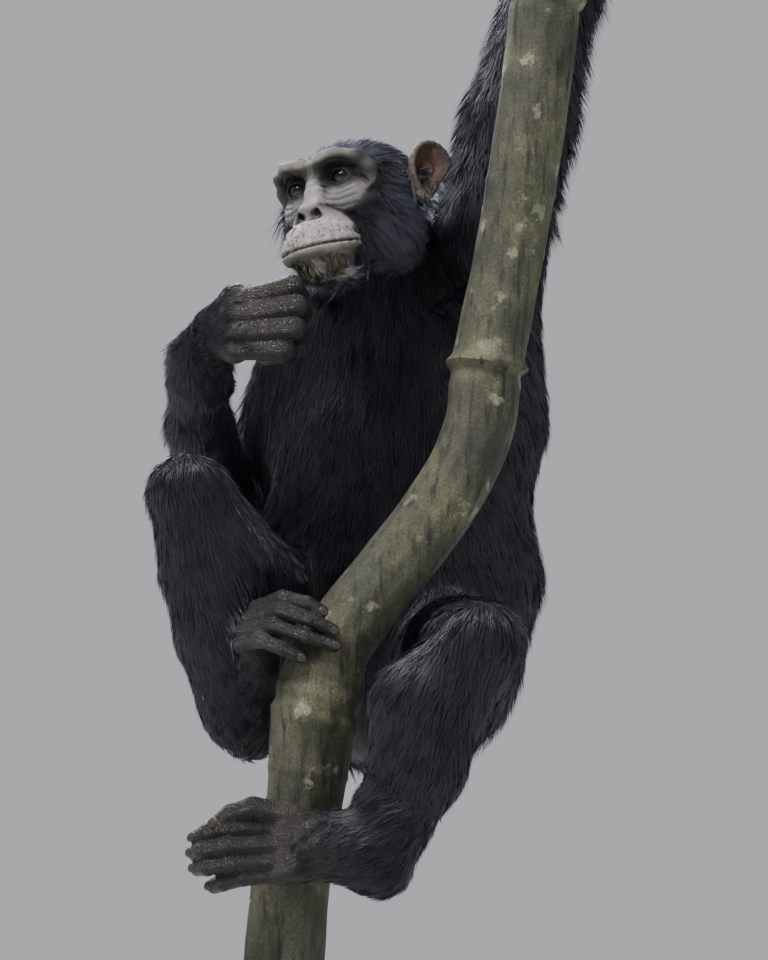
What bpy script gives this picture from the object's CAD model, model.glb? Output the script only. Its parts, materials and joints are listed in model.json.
# %% [markdown]
# # A life-size chimpanzee on a bent stem
# The animal sits against a stem that it grips with one raised hand and both feet. The packed
# solids give every place and size. This lesson dresses them: one skin, two eyes, nails, a coat
# of mesh tufts, the bark of the stem, and the stand.

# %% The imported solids
import json
import math

import bmesh
import bpy
import numpy as np
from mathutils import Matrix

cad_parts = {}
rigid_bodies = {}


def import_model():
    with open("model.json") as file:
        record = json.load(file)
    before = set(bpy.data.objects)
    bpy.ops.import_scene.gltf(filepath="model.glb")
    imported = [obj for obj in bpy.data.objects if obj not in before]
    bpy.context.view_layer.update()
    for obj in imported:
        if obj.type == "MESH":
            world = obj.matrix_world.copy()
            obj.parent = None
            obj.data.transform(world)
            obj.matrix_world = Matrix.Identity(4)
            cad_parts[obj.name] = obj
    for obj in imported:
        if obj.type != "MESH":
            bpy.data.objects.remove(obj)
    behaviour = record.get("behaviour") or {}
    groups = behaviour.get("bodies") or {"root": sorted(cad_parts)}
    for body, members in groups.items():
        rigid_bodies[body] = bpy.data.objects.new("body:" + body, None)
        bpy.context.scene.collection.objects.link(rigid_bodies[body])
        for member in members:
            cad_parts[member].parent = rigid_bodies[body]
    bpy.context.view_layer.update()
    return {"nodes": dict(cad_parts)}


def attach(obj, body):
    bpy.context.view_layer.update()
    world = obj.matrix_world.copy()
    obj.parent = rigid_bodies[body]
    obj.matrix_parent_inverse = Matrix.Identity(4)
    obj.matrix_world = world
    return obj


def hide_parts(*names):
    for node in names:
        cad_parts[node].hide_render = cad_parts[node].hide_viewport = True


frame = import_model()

import openvdb
from mathutils import Matrix, Vector

# %% [markdown]
# Colours are picked as sRGB hex values, as on a paint card, but a shader counts in linear light.
# One function turns them over. Another adds a shader or geometry node with its settings and
# links, so that each finish below reads as a short list of steps.

# %% Helpers for colours and nodes


def linear(code):
    """A hex colour such as 8d8076 as linear red, green, blue and alpha."""
    parts = [int(code[i:i + 2], 16) / 255 for i in (0, 2, 4)]
    return tuple(p / 12.92 if p <= 0.04045 else ((p + 0.055) / 1.055) ** 2.4 for p in parts) + (1.0,)


def add(tree, kind, inputs=(), **settings):
    """Adds a node; inputs pairs a socket with a value or with another node's socket."""
    node = tree.nodes.new(kind)
    for key, value in settings.items():
        setattr(node, key, value)
    for socket, value in dict(inputs).items():
        if isinstance(value, bpy.types.NodeSocket):
            tree.links.new(value, node.inputs[socket])
        else:
            node.inputs[socket].default_value = value
    return node


def new_finish(name):
    """An empty material: its tree and its Principled shader."""
    material = bpy.data.materials.new(name)
    material.use_nodes = True
    return material, material.node_tree, material.node_tree.nodes["Principled BSDF"]


def new_piece(name, mesh, finish=None, replaces=()):
    """An object of the model at the origin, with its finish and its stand-in."""
    item = bpy.data.objects.new(name, mesh)
    bpy.context.scene.collection.objects.link(item)
    if finish is not None:
        mesh.materials.clear()
        mesh.materials.append(finish)
    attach(item, "root")
    if replaces:
        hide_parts(*replaces)
    return item


def plain_mesh(item):
    """The mesh that the object's modifiers give."""
    graph = bpy.context.evaluated_depsgraph_get()
    return bpy.data.meshes.new_from_object(item.evaluated_get(graph), depsgraph=graph)


# %% [markdown]
# Flesh has no edges, so it is drawn as a field: a function that says how far a point lies
# outside the body. Rounded cones and ellipsoids are fields, and a soft join runs one into the
# next as muscle does. A grid is filled with the field and its zero surface becomes the skin.

# %% Soft fields


def join_soft(first, second, reach):
    share = np.clip(0.5 + 0.5 * (second - first) / reach, 0.0, 1.0)
    return second * (1 - share) + first * share - reach * share * (1 - share)


def cut_soft(form, tool, reach):
    return -join_soft(-form, tool, reach)


def all_soft(fields, reach):
    total = fields[0]
    for field in fields[1:]:
        total = join_soft(total, field, reach)
    return total


def cone(points, start, end, start_radius, end_radius):
    """A rod with round ends."""
    start = np.asarray(start, np.float32)
    axis = np.asarray(end, np.float32) - start
    share = np.clip((points - start) @ axis / max(float(axis @ axis), 1e-12), 0.0, 1.0)
    offset = points - start - share[:, None] * axis
    return np.linalg.norm(offset, axis=1) - (start_radius + share * (end_radius - start_radius))


def ellipsoid(points, centre, radii):
    local = points - np.asarray(centre, np.float32)
    radii = np.asarray(radii, np.float32)
    near = np.linalg.norm(local / radii, axis=1)
    slope = np.linalg.norm(local / radii**2, axis=1)
    return near * (near - 1.0) / np.maximum(slope, 1e-6)


def chain(points, stations, reach):
    """Rods through (place, radius) stations, run into one another."""
    rods = []
    for (start, start_radius), (end, end_radius) in zip(stations, stations[1:]):
        rods.append(cone(points, start, end, start_radius, end_radius))
    return all_soft(rods, reach)


def ramp(value, low, high):
    """0 below low, 1 above high, and smooth between."""
    share = np.clip((value - low) / (high - low), 0.0, 1.0)
    return share * share * (3 - 2 * share)


def surface_mesh(name, field, low, high, step):
    """A closed smooth mesh where the field is nought: rough cells first, fine ones near it."""
    low = np.asarray(low, np.float32)
    coarse = 4
    counts = (np.ceil((np.asarray(high) - low) / (step * coarse)).astype(int) + 1) * coarse
    ticks = [np.arange(0, count, coarse, dtype=np.float32) + 0.5 * (coarse - 1) for count in counts]
    places = np.stack(np.meshgrid(*ticks, indexing="ij"), -1).reshape(-1, 3) * step + low
    rough = field(places).reshape([len(tick) for tick in ticks])
    values = rough.repeat(coarse, 0).repeat(coarse, 1).repeat(coarse, 2).astype(np.float32)
    near = np.abs(values) < 2.8 * coarse * step
    cells = np.argwhere(near)
    found = [field(part * np.float32(step) + low) for part in np.array_split(cells, len(cells) // 200000 + 1)]
    values[near] = np.concatenate(found)
    rind = np.ones(values.shape, bool)
    rind[1:-1, 1:-1, 1:-1] = False
    values[rind] = np.maximum(values[rind], step)
    grid = openvdb.FloatGrid()
    grid.copyFromArray(values)
    points, threes, fours = grid.convertToPolygons(isovalue=0.0, adaptivity=0.0)
    mesh = bpy.data.meshes.new(name)
    mesh.from_pydata((points * step + low).tolist(), [], threes.tolist() + fours.tolist())
    shape = bmesh.new()
    shape.from_mesh(mesh)
    keep_largest(shape)
    if shape.calc_volume(signed=True) < 0:
        bmesh.ops.reverse_faces(shape, faces=shape.faces)
    shape.to_mesh(mesh)
    shape.free()
    mesh.shade_smooth()
    print(name, len(mesh.polygons), "faces at", step * 1000, "mm")
    return mesh


def keep_largest(shape):
    """Drops every closed surface but the largest."""
    waiting, islands = set(shape.faces), []
    while waiting:
        island, edge_of_island = [], [waiting.pop()]
        while edge_of_island:
            face = edge_of_island.pop()
            island.append(face)
            for edge in face.edges:
                for other in edge.link_faces:
                    if other in waiting:
                        waiting.discard(other)
                        edge_of_island.append(other)
        islands.append(island)
    islands.sort(key=len)
    loose = [face for island in islands[:-1] for face in island]
    bmesh.ops.delete(shape, geom=loose, context="FACES")


# %% [markdown]
# The joints stand where the solids have them. Every radius is the flesh and coat together, as
# the solids are, and the skin lies deeper by the depth of the coat: nothing on face, hands and
# soles, and most on back and shoulders.

# %% Joints and sizes of the body
PELVIS, LOINS = Vector((0.012, 0.075, 0.488)), Vector((0.009, 0.066, 0.605))
THORAX, UPPER_THORAX = Vector((0.023, 0.045, 0.755)), Vector((0.022, 0.035, 0.865))
NECK_BASE, SKULL_BASE = Vector((0.014, 0.028, 0.905)), Vector((-0.006, -0.006, 0.950))
LIMBS = {
    "arm_right": [(-0.075, 0.000, 0.857), (-0.160, 0.112, 0.680), (-0.191, -0.103, 0.811)],
    "arm_left": [(0.108, 0.012, 0.955), (0.183, 0.018, 1.245), (0.191, -0.048, 1.490)],
    "leg_right": [(-0.084, 0.060, 0.500), (-0.199, -0.140, 0.667), (-0.146, -0.112, 0.447)],
    "leg_left": [(0.062, 0.050, 0.512), (0.096, -0.243, 0.505), (0.000, -0.228, 0.318)],
}
LEG_RADII = [(0.0, 0.074), (0.5, 0.061), (1.0, 0.044), (1.32, 0.060), (1.65, 0.051), (2.0, 0.038)]
LIMB_RADII = {
    "arm_right": [(0.0, 0.050), (0.35, 0.040), (0.65, 0.038), (1.0, 0.040), (1.3, 0.039), (1.6, 0.036),
                  (2.0, 0.028)],
    "arm_left": [(0.0, 0.062), (0.45, 0.060), (1.0, 0.050), (1.28, 0.048), (2.0, 0.032)],
    "leg_right": LEG_RADII,
    "leg_left": LEG_RADII,
}
BULGE = {
    "arm_right": Vector((-0.015, -0.002, 0.0)),
    "leg_right": Vector((0.010, 0.012, 0.0)),
    "leg_left": Vector((-0.022, 0.012, -0.004)),
}
LAT_LINE = [(0.124, 0.030, 0.960), (0.122, 0.045, 0.775)]
LAT_RADII = (0.048, 0.050)
STEM_RADIUS = 0.0365
STEM_PATH = [
    ((-0.103, -0.165, 0.152), 1.14), ((-0.093, -0.165, 0.275), 1.08), ((-0.079, -0.165, 0.355), 1.05),
    ((-0.070, -0.165, 0.429), 1.20), ((-0.058, -0.165, 0.490), 1.06), ((-0.032, -0.162, 0.535), 1.00),
    ((0.008, -0.150, 0.587), 0.98), ((0.047, -0.140, 0.639), 1.00), ((0.079, -0.135, 0.691), 1.00),
    ((0.098, -0.132, 0.743), 1.00), ((0.105, -0.130, 0.800), 1.02), ((0.125, -0.125, 0.900), 0.99),
    ((0.145, -0.125, 1.015), 1.00), ((0.161, -0.125, 1.121), 1.00), ((0.168, -0.125, 1.185), 1.02),
    ((0.179, -0.125, 1.291), 0.99), ((0.189, -0.125, 1.399), 1.00), ((0.198, -0.125, 1.507), 0.99),
    ((0.205, -0.125, 1.596), 0.97),
]
STEM_SCARS = (0.800, 1.187)


def limb_stations(name):
    """Stations along a bent limb; 0 is the root, 1 the middle joint and 2 the end joint."""
    root, middle, end = [Vector(place) for place in LIMBS[name]]
    stations = []
    for at, radius in LIMB_RADII[name]:
        place = root.lerp(middle, at) if at <= 1 else middle.lerp(end, at - 1)
        if 1 < at < 1.62 and name in BULGE and (at < 1.5 or name == "arm_right"):
            place = place + BULGE[name]
        stations.append((place, radius))
    return stations


def along_limb(points, name):
    """How far along a limb each point lies, from 0 at the root to 2, and how far off its axis."""
    root, middle, end = [np.array(place, np.float32) for place in LIMBS[name]]
    found = []
    for start, stop in ((root, middle), (middle, end)):
        axis = stop - start
        share = np.clip((points - start) @ axis / float(axis @ axis), 0.0, 1.0)
        away = np.linalg.norm(points - start - share[:, None] * axis, axis=1)
        found.append((share, away))
    (first, near), (second, far) = found
    return np.where(near < far, first, 1 + second), np.minimum(near, far)


def trunk_field(points):
    pelvis = ellipsoid(points, PELVIS, (0.116, 0.092, 0.090))
    belly = ellipsoid(points, LOINS, (0.164, 0.128, 0.130))
    chest = ellipsoid(points, THORAX, (0.150, 0.112, 0.140))
    upper = ellipsoid(points, UPPER_THORAX, (0.112, 0.088, 0.078))
    trunk = all_soft([pelvis, belly, chest, upper], 0.06)
    side = cone(points, LAT_LINE[0], LAT_LINE[1], LAT_RADII[0], LAT_RADII[1])
    trunk = join_soft(trunk, side, 0.03)
    roots = []
    for name in LIMBS:
        root, middle, _ = [Vector(place) for place in LIMBS[name]]
        length = 0.16 if name == "arm_left" else 0.10
        radius = {"arm_right": 0.046, "arm_left": 0.052}.get(name, 0.075)
        tip = root + (middle - root).normalized() * length
        roots.append(cone(points, root, tip, radius, radius * 0.72))
    return join_soft(trunk, all_soft(roots, 0.01), 0.05)


def neck_field(points):
    return cone(points, NECK_BASE, SKULL_BASE, 0.076, 0.056)


def limb_field(points, name):
    return chain(points, limb_stations(name), 0.014)


def stem_field(points):
    stations = [(place, STEM_RADIUS * ratio) for place, ratio in STEM_PATH]
    return chain(points, stations, 0.006)


# %% [markdown]
# The head has axes of its own: X to the animal's right, Y out of the face, Z up. It is turned
# to the right side of the body and tipped up a little, so every feature is given on a level
# head and turned with it. A heavy brow, eyes deep under it, a flat nose and a long upper lip
# make the face.

# %% The head's own axes and its form
HEAD_CENTRE = Vector((-0.017, -0.052, 0.973))
HEAD_TURN, HEAD_TIP, HEAD_LEAN = -34.0, -5.5, -9.0
EYE_PLACE = (0.0275, 0.0745, 0.0268)
EYE_RADIUS = 0.0125
EAR_PLACE = (0.061, -0.010, 0.024)
EAR_SIZE = (0.026, 0.0315)


def head_matrix():
    turn = Matrix.Rotation(math.radians(HEAD_TURN), 4, "Z")
    tip = Matrix.Rotation(math.radians(-HEAD_TIP), 4, "X")
    lean = Matrix.Rotation(math.radians(HEAD_LEAN), 4, "Y")
    return Matrix.Translation(HEAD_CENTRE) @ turn @ tip @ lean @ Matrix.Rotation(math.pi, 4, "Z")


HEAD = head_matrix()


def to_local(points, matrix):
    inverse = np.array(matrix.inverted(), np.float32)
    return (points @ inverse[:3, :3].T + inverse[:3, 3]).astype(np.float32)


def mouth_line(share):
    """A point of the closed mouth; share runs from -1 at one corner to 1 at the other."""
    across = math.sin(share * math.radians(74)) / math.sin(math.radians(74))
    return (0.043 * across, 0.1365 - 0.041 * share * share, -0.0465 + 0.001 * share * share)


def crease(both, path, depth, width):
    """How much a fold line, drawn on the face as seen from the front, sinks the skin."""
    seen = both[:, [0, 2]]
    nearest = np.full(len(both), 1.0, np.float32)
    for start, end in zip(path, path[1:]):
        start = np.array(start, np.float32)
        axis = np.array(end, np.float32) - start
        share = np.clip((seen - start) @ axis / float(axis @ axis), 0, 1)
        nearest = np.minimum(nearest, np.linalg.norm(seen - start - share[:, None] * axis, axis=1))
    return depth * np.exp(-((nearest / width) ** 2)) * ramp(both[:, 1], 0.035, 0.055)


FOLDS = [
    ([(0.011, 0.020), (0.019, 0.0145), (0.030, 0.0125), (0.041, 0.016)], 0.0014, 0.0012),
    ([(0.010, 0.0155), (0.018, 0.0092), (0.030, 0.0062), (0.043, 0.010)], 0.0016, 0.0013),
    ([(0.010, 0.0105), (0.018, 0.0030), (0.030, -0.0002), (0.045, 0.003)], 0.0012, 0.0012),
    ([(0.011, 0.0045), (0.019, -0.0035), (0.031, -0.0070), (0.044, -0.005)], 0.0010, 0.0013),
    ([(0.017, -0.003), (0.024, -0.009), (0.034, -0.015), (0.042, -0.026)], 0.0013, 0.0015),
    ([(0.022, -0.006), (0.031, -0.012), (0.042, -0.017)], 0.0010, 0.0014),
    ([(0.014, 0.0350), (0.022, 0.0398), (0.033, 0.0393), (0.042, 0.034)], 0.0016, 0.0013),
    ([(0.016, 0.0405), (0.024, 0.0440), (0.034, 0.0435), (0.043, 0.039)], 0.0014, 0.0012),
    ([(0.0040, 0.052), (0.0040, 0.042), (0.006, 0.033)], 0.0016, 0.0014),
    ([(0.000, 0.029), (0.006, 0.030), (0.011, 0.027)], 0.0011, 0.0012),
    ([(0.000, 0.022), (0.006, 0.0225), (0.011, 0.019)], 0.0014, 0.0012),
    ([(0.000, 0.015), (0.005, 0.0155), (0.009, 0.013)], 0.0007, 0.0011),
    ([(0.044, 0.025), (0.050, 0.021), (0.053, 0.014)], 0.0016, 0.0013),
    ([(0.042, 0.019), (0.048, 0.014), (0.051, 0.006)], 0.0012, 0.0013),
    ([(0.008, -0.020), (0.010, -0.030), (0.011, -0.040)], 0.0005, 0.0012),
    ([(0.018, -0.020), (0.021, -0.030), (0.023, -0.040)], 0.0006, 0.0012),
    ([(0.028, -0.022), (0.032, -0.032), (0.034, -0.041)], 0.0006, 0.0012),
    ([(0.000, -0.0625), (0.018, -0.0620), (0.031, -0.0590)], 0.0007, 0.0013),
]


def face_form(points):
    """The head without eyes and ears, with its folds."""
    both = np.stack([np.abs(points[:, 0]), points[:, 1], points[:, 2]], 1)
    skull = ellipsoid(both, (0, 0.006, 0.030), (0.060, 0.074, 0.048))
    jaw = ellipsoid(both, (0.014, 0.014, -0.014), (0.047, 0.054, 0.052))
    face = ellipsoid(both, (0, 0.062, 0.008), (0.046, 0.030, 0.046))
    form = all_soft([skull, jaw, face], 0.028)
    upper = ellipsoid(both, (0, 0.093, -0.034), (0.039, 0.043, 0.0225))
    lower = ellipsoid(both, (0, 0.084, -0.056), (0.034, 0.046, 0.020))
    form = join_soft(form, join_soft(upper, lower, 0.016), 0.024)
    cheek = cone(both, (0.022, 0.086, 0.003), (0.046, 0.064, 0.001), 0.010, 0.012)
    form = join_soft(form, cheek, 0.020)
    socket = ellipsoid(both, (0.0290, 0.099, 0.0285), (0.0205, 0.022, 0.0155))
    form = cut_soft(form, socket, 0.010)
    brow = chain(
        both,
        [((0, 0.087, 0.043), 0.0070), ((0.014, 0.090, 0.0475), 0.0078), ((0.030, 0.0885, 0.0505), 0.0080),
         ((0.046, 0.078, 0.045), 0.0075), ((0.054, 0.066, 0.032), 0.0065), ((0.055, 0.060, 0.016), 0.0055)],
        0.008,
    )
    form = join_soft(form, brow, 0.008)
    ridge = [((0, 0.085, 0.034), 0.0080), ((0, 0.093, 0.014), 0.0090), ((0, 0.100, -0.002), 0.0095)]
    wing = cone(both, (0.006, 0.1050, -0.004), (0.0145, 0.1035, -0.0115), 0.0090, 0.0075)
    form = join_soft(form, join_soft(chain(both, ridge, 0.004), wing, 0.006), 0.009)
    lips, seam = [[], []], []
    for share in np.linspace(0, 1, 9):
        place = np.array(mouth_line(share))
        seam.append((place + (0, 0.0015, 0), 0.0015 - 0.0004 * share))
        lips[0].append((place + (0, -0.0045, 0.0040), 0.0045 * (1 - 0.55 * share)))
        lips[1].append((place + (0, -0.0050, -0.0042), 0.0048 * (1 - 0.55 * share)))
    form = join_soft(form, chain(both, lips[0], 0.004), 0.010)
    form = join_soft(form, chain(both, lips[1], 0.004), 0.008)
    form = cut_soft(form, chain(both, seam, 0.001), 0.0022)
    nostril = cone(both, (0.0078, 0.1170, -0.0118), (0.0124, 0.1145, -0.0122), 0.0044, 0.0038)
    passage = cone(both, (0.0100, 0.1150, -0.0120), (0.0098, 0.103, -0.004), 0.0044, 0.0036)
    nostril = join_soft(nostril, passage, 0.002)
    form = cut_soft(form, nostril, 0.0025)
    for path, depth, width in FOLDS:
        form = form + crease(both, path, depth, width)
    eye = np.array(EYE_PLACE)
    lids = ellipsoid(both, eye, (EYE_RADIUS + 0.0024,) * 3)
    form = join_soft(form, lids, 0.004)
    opening = ellipsoid(both, eye + (0.0006, EYE_RADIUS + 0.002, 0.0004), (0.0121, 0.008, 0.0065))
    form = cut_soft(form, opening, 0.0012)
    return np.maximum(form, -(np.linalg.norm(both - eye.astype(np.float32), axis=1) - EYE_RADIUS - 0.0002))


def ear_frame(side):
    place = Vector((side * EAR_PLACE[0], EAR_PLACE[1], EAR_PLACE[2]))
    return Matrix.Translation(place) @ Matrix.Rotation(side * math.radians(28), 4, "Z")


def ear_form(points, side):
    """An ear in the head's axes: a thin leaf with a rolled rim, a hollow bowl, a ridge and a lobe."""
    local = to_local(points, ear_frame(side))
    local[:, 0] *= side
    half_width, half_height = EAR_SIZE
    slim = 1 - 0.42 * ramp(0.012 - local[:, 2], 0.0, 0.032)
    local[:, 1] = 0.012 + (local[:, 1] - 0.012) / slim
    leaf = ellipsoid(local, (0.012, -0.012, 0.004), (0.0075, half_width, half_height))
    hollow = ellipsoid(local, (0.0225, -0.010, 0.006), (0.0125, half_width - 0.006, half_height - 0.006))
    form = cut_soft(leaf, hollow, 0.003)
    rim = []
    for share in np.linspace(0, 1, 16):
        angle = math.radians(-70 + 270 * share)
        rim.append(((0.0155, -0.012 - (half_width - 0.003) * math.cos(angle) * 0.96,
                     0.004 + (half_height - 0.003) * math.sin(angle)), 0.0027))
    form = join_soft(form, chain(local, rim, 0.002), 0.003)
    ridge = chain(local, [((0.013, -0.020, 0.022), 0.0022), ((0.012, -0.026, 0.004), 0.0026),
                          ((0.012, -0.016, -0.016), 0.0024)], 0.002)
    tragus = cone(local, (0.004, 0.008, -0.010), (0.013, 0.004, -0.010), 0.0070, 0.0046)
    root = cone(local, (-0.010, 0.002, -0.006), (0.008, -0.006, 0.002), 0.016, 0.010)
    lobe = cone(local, (0.006, 0.002, -0.022), (0.010, -0.002, -0.027), 0.0080, 0.0060)
    form = all_soft([form, ridge, lobe, tragus], 0.004)
    bowl = ellipsoid(local, (0.016, -0.004, 0.000), (0.010, 0.010, 0.012))
    return cut_soft(join_soft(form, root, 0.006), bowl, 0.004)


def hairline(local):
    """How far in front of the hair's edge a point of the head lies, in metres."""
    across, height = np.abs(local[:, 0]), local[:, 2]
    side = 0.055 + 0.72 * np.clip(0.030 - height, -0.010, 0.045) + 0.002 * np.sin(height * 310)
    side = side + 0.55 * np.clip(height - 0.030, 0, 0.025)
    top = 0.0535 + 0.10 * np.minimum(across, 0.022) - 0.40 * np.maximum(across - 0.036, 0)
    return np.minimum(local[:, 1] - side, 2.2 * (top - height))


def bare_face(local):
    """1 on the bare face and ears, 0 where the coat grows, in the head's axes."""
    ears = np.zeros(len(local), np.float32)
    for sign in (1, -1):
        near = to_local(local, ear_frame(sign))
        near[:, 0] *= sign
        leaf = ellipsoid(near, (0.012, -0.014, 0.002), (0.03, 0.029, 0.040)) < 0
        ears = np.maximum(ears, ramp(near[:, 0], 0.002, 0.009) * leaf)
    blend = 0.003 + 0.007 * ramp(0.020 - local[:, 2], 0, 0.040)
    return np.maximum(ramp(hairline(local) / blend, -1, 1), ears)


def head_field(points):
    local = to_local(points, HEAD)
    head = face_form(local)
    head = head + 0.0035 * (1 - bare_face(local)) * (head < 0.05)
    ears = np.minimum(ear_form(local, 1), ear_form(local, -1))
    return join_soft(head, ears, 0.004)

# %% [markdown]
# Hands and feet are bare and do the holding, so each digit follows a line of its own round the
# stem or into the fist. A palm, a web at the knuckles and five bent rods make each of them, and
# the flesh is pressed flat where it meets the stem.

# %% Lines of the hands and feet
HAND_RIGHT = {
    "palm": [((-0.184, -0.112, 0.816), 0.025), ((-0.168, -0.136, 0.834), 0.0235),
             ((-0.151, -0.148, 0.845), 0.0205)],
    "knuckles": [((-0.150, -0.150, 0.862), 0.015), ((-0.152, -0.155, 0.815), 0.015)],
    "digits": [
        [(-0.146, -0.160, 0.862), (-0.093, -0.170, 0.874), (-0.088, -0.143, 0.869), (-0.112, -0.132, 0.864)],
        [(-0.148, -0.165, 0.845), (-0.088, -0.180, 0.852), (-0.084, -0.152, 0.849), (-0.112, -0.138, 0.845)],
        [(-0.150, -0.167, 0.827), (-0.090, -0.182, 0.829), (-0.087, -0.155, 0.828), (-0.114, -0.140, 0.824)],
        [(-0.150, -0.163, 0.811), (-0.101, -0.176, 0.808), (-0.099, -0.152, 0.808), (-0.121, -0.141, 0.807)],
        [(-0.177, -0.112, 0.832), (-0.146, -0.106, 0.843), (-0.118, -0.110, 0.853)],
    ],
    "radii": (0.0112, 0.0118, 0.0108, 0.0092),
}
FOOT_LEFT = {
    "palm": [((-0.004, -0.222, 0.288), 0.031), ((-0.022, -0.226, 0.304), 0.036),
             ((-0.066, -0.232, 0.308), 0.027)],
    "knuckles": [((-0.098, -0.236, 0.320), 0.016), ((-0.098, -0.232, 0.284), 0.015)],
    "digits": [
        [(-0.100, -0.238, 0.325), (-0.145, -0.243, 0.323), (-0.172, -0.236, 0.319), (-0.183, -0.225, 0.314)],
        [(-0.103, -0.240, 0.308), (-0.150, -0.246, 0.305), (-0.177, -0.238, 0.301), (-0.185, -0.226, 0.299)],
        [(-0.104, -0.239, 0.292), (-0.148, -0.244, 0.289), (-0.173, -0.237, 0.285), (-0.182, -0.226, 0.284)],
        [(-0.100, -0.235, 0.279), (-0.138, -0.239, 0.275), (-0.158, -0.233, 0.270), (-0.166, -0.225, 0.267)],
        [(-0.060, -0.236, 0.325), (-0.097, -0.244, 0.338), (-0.128, -0.247, 0.343), (-0.150, -0.245, 0.337),
         (-0.162, -0.240, 0.327)],
    ],
    "radii": (0.0095, 0.0092, 0.0090, 0.0080),
}
FOOT_RIGHT = {
    "palm": [((-0.137, -0.102, 0.424), 0.025), ((-0.136, -0.120, 0.452), 0.027),
             ((-0.128, -0.146, 0.488), 0.022)],
    "knuckles": [((-0.117, -0.166, 0.528), 0.014), ((-0.130, -0.164, 0.500), 0.014)],
    "digits": [
        [(-0.128, -0.172, 0.546), (-0.101, -0.198, 0.554), (-0.076, -0.208, 0.547), (-0.062, -0.207, 0.539)],
        [(-0.135, -0.174, 0.535), (-0.102, -0.202, 0.540), (-0.072, -0.212, 0.530), (-0.051, -0.207, 0.520)],
        [(-0.141, -0.174, 0.522), (-0.109, -0.202, 0.525), (-0.077, -0.213, 0.513), (-0.050, -0.208, 0.505)],
        [(-0.144, -0.172, 0.509), (-0.121, -0.198, 0.511), (-0.100, -0.208, 0.502), (-0.083, -0.206, 0.494)],
        [(-0.126, -0.140, 0.490), (-0.104, -0.106, 0.520), (-0.072, -0.102, 0.540), (-0.046, -0.110, 0.545)],
    ],
    "radii": (0.0084, 0.0078, 0.0074, 0.0068),
}


def hand_left_shape():
    """The raised hand: palm behind the stem, fingers over its outer side to the front."""
    x, y, z = 0.198, -0.125, 1.512
    reach = STEM_RADIUS + 0.0135

    def around(degrees, height, out=0.0):
        angle = math.radians(degrees)
        return (x + (reach + out) * math.cos(angle), y + (reach + out) * math.sin(angle), z + height)

    digits = []
    for number in range(4):
        height = 0.032 - 0.0215 * number
        bends = ((62, 0, 0.004), (8, 0.3, 0.003), (-42, 0.7, 0.001), (-84, 1, 0))
        digits.append([around(bend, height + 0.010 * share, out) for bend, share, out in bends])
    digits.append([around(128, -0.036, 0.008), around(168, -0.030, 0.003), around(210, -0.012, 0.0)])
    return {
        "palm": [((0.191, -0.048, 1.478), 0.029), ((0.196, -0.062, 1.498), 0.026),
                 ((0.204, -0.066, 1.515), 0.022)],
        "knuckles": [(around(66, 0.034, 0.003), 0.015), (around(66, -0.030, 0.003), 0.015)],
        "digits": digits,
        "radii": (0.0118, 0.0112, 0.0106, 0.0094),
    }


GRIPS = {
    "hand_right": (HAND_RIGHT, "arm_right", 0.026),
    "hand_left": (hand_left_shape(), "arm_left", 0.030),
    "foot_right": (FOOT_RIGHT, "leg_right", 0.031),
    "foot_left": (FOOT_LEFT, "leg_left", 0.031),
}


def digit_stations(shape, digit):
    """Places and radii along a digit; its joints are a little thicker than the spans between."""
    radii = list(shape["radii"]) + [shape["radii"][-1]]
    if len(digit) != 4:
        radii = [radius * 1.12 for radius in radii]
    stations = []
    for index, place in enumerate(digit):
        stations.append((np.array(place), radii[index] * (1.0 if index == len(digit) - 1 else 1.04)))
        if index < len(digit) - 1:
            middle = 0.5 * (np.array(place) + np.array(digit[index + 1]))
            stations.append((middle, 0.47 * (radii[index] + radii[index + 1])))
    return stations


def grip_field(points, name):
    """A hand or foot with the end of its forearm or shin, and fine creases at its joints."""
    shape, limb, wrist_radius = GRIPS[name]
    _, middle, end = [np.array(place) for place in LIMBS[limb]]
    along = (end - middle) / np.linalg.norm(end - middle)
    palm = chain(points, shape["palm"], 0.012)
    web = chain(points, shape["knuckles"], 0.008)
    spread = []
    for place, radius in shape["knuckles"]:
        palm_place, palm_radius = shape["palm"][1]
        spread.append(cone(points, palm_place, place, palm_radius * 0.75, radius))
    form = join_soft(join_soft(palm, web, 0.010), all_soft(spread, 0.008), 0.010)
    form = join_soft(form, cone(points, end - along * 0.06, end, wrist_radius * 1.10, wrist_radius), 0.012)
    for digit in shape["digits"]:
        form = join_soft(form, chain(points, digit_stations(shape, digit), 0.0015), 0.0030)
        for before, place, after in zip(digit, digit[1:], digit[2:]):
            bend = np.array(after, np.float32) - np.array(before, np.float32)
            bend /= np.linalg.norm(bend)
            offset = points - np.array(place, np.float32)
            apart = offset @ bend
            near = np.linalg.norm(offset, axis=1) < 0.019
            wave = np.exp(-((apart / 0.0009) ** 2)) + np.exp(-(((apart - 0.0036) / 0.0009) ** 2))
            wave = wave + np.exp(-(((apart + 0.0036) / 0.0009) ** 2))
            form = form + near * 0.0006 * wave
    return form


def stem_pressed(points, form):
    """Flattens a form where it presses on the stem."""
    return np.maximum(form, -(stem_field(points) - 0.0008))


# %% [markdown]
# The skin comes off the grid in a few pieces, fine where it is bare and coarser under the coat.
# Every piece reads the same flesh, so where one ends inside another under hair no seam can show.
# A last step takes triangles out where the surface is nearly flat and keeps them at folds.

# %% The flesh as one field
BOX_OF_BODY = ((-0.285, -0.315, 0.235), (0.275, 0.215, 1.56))


def coat_depth(points, limb):
    """How deep the skin lies under a limb's solid; the coat fades out towards wrist and ankle."""
    at, _ = along_limb(points, limb)
    return 0.0075 * (1 - ramp(at, 1.72, 1.97)) + 0.0005


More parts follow.
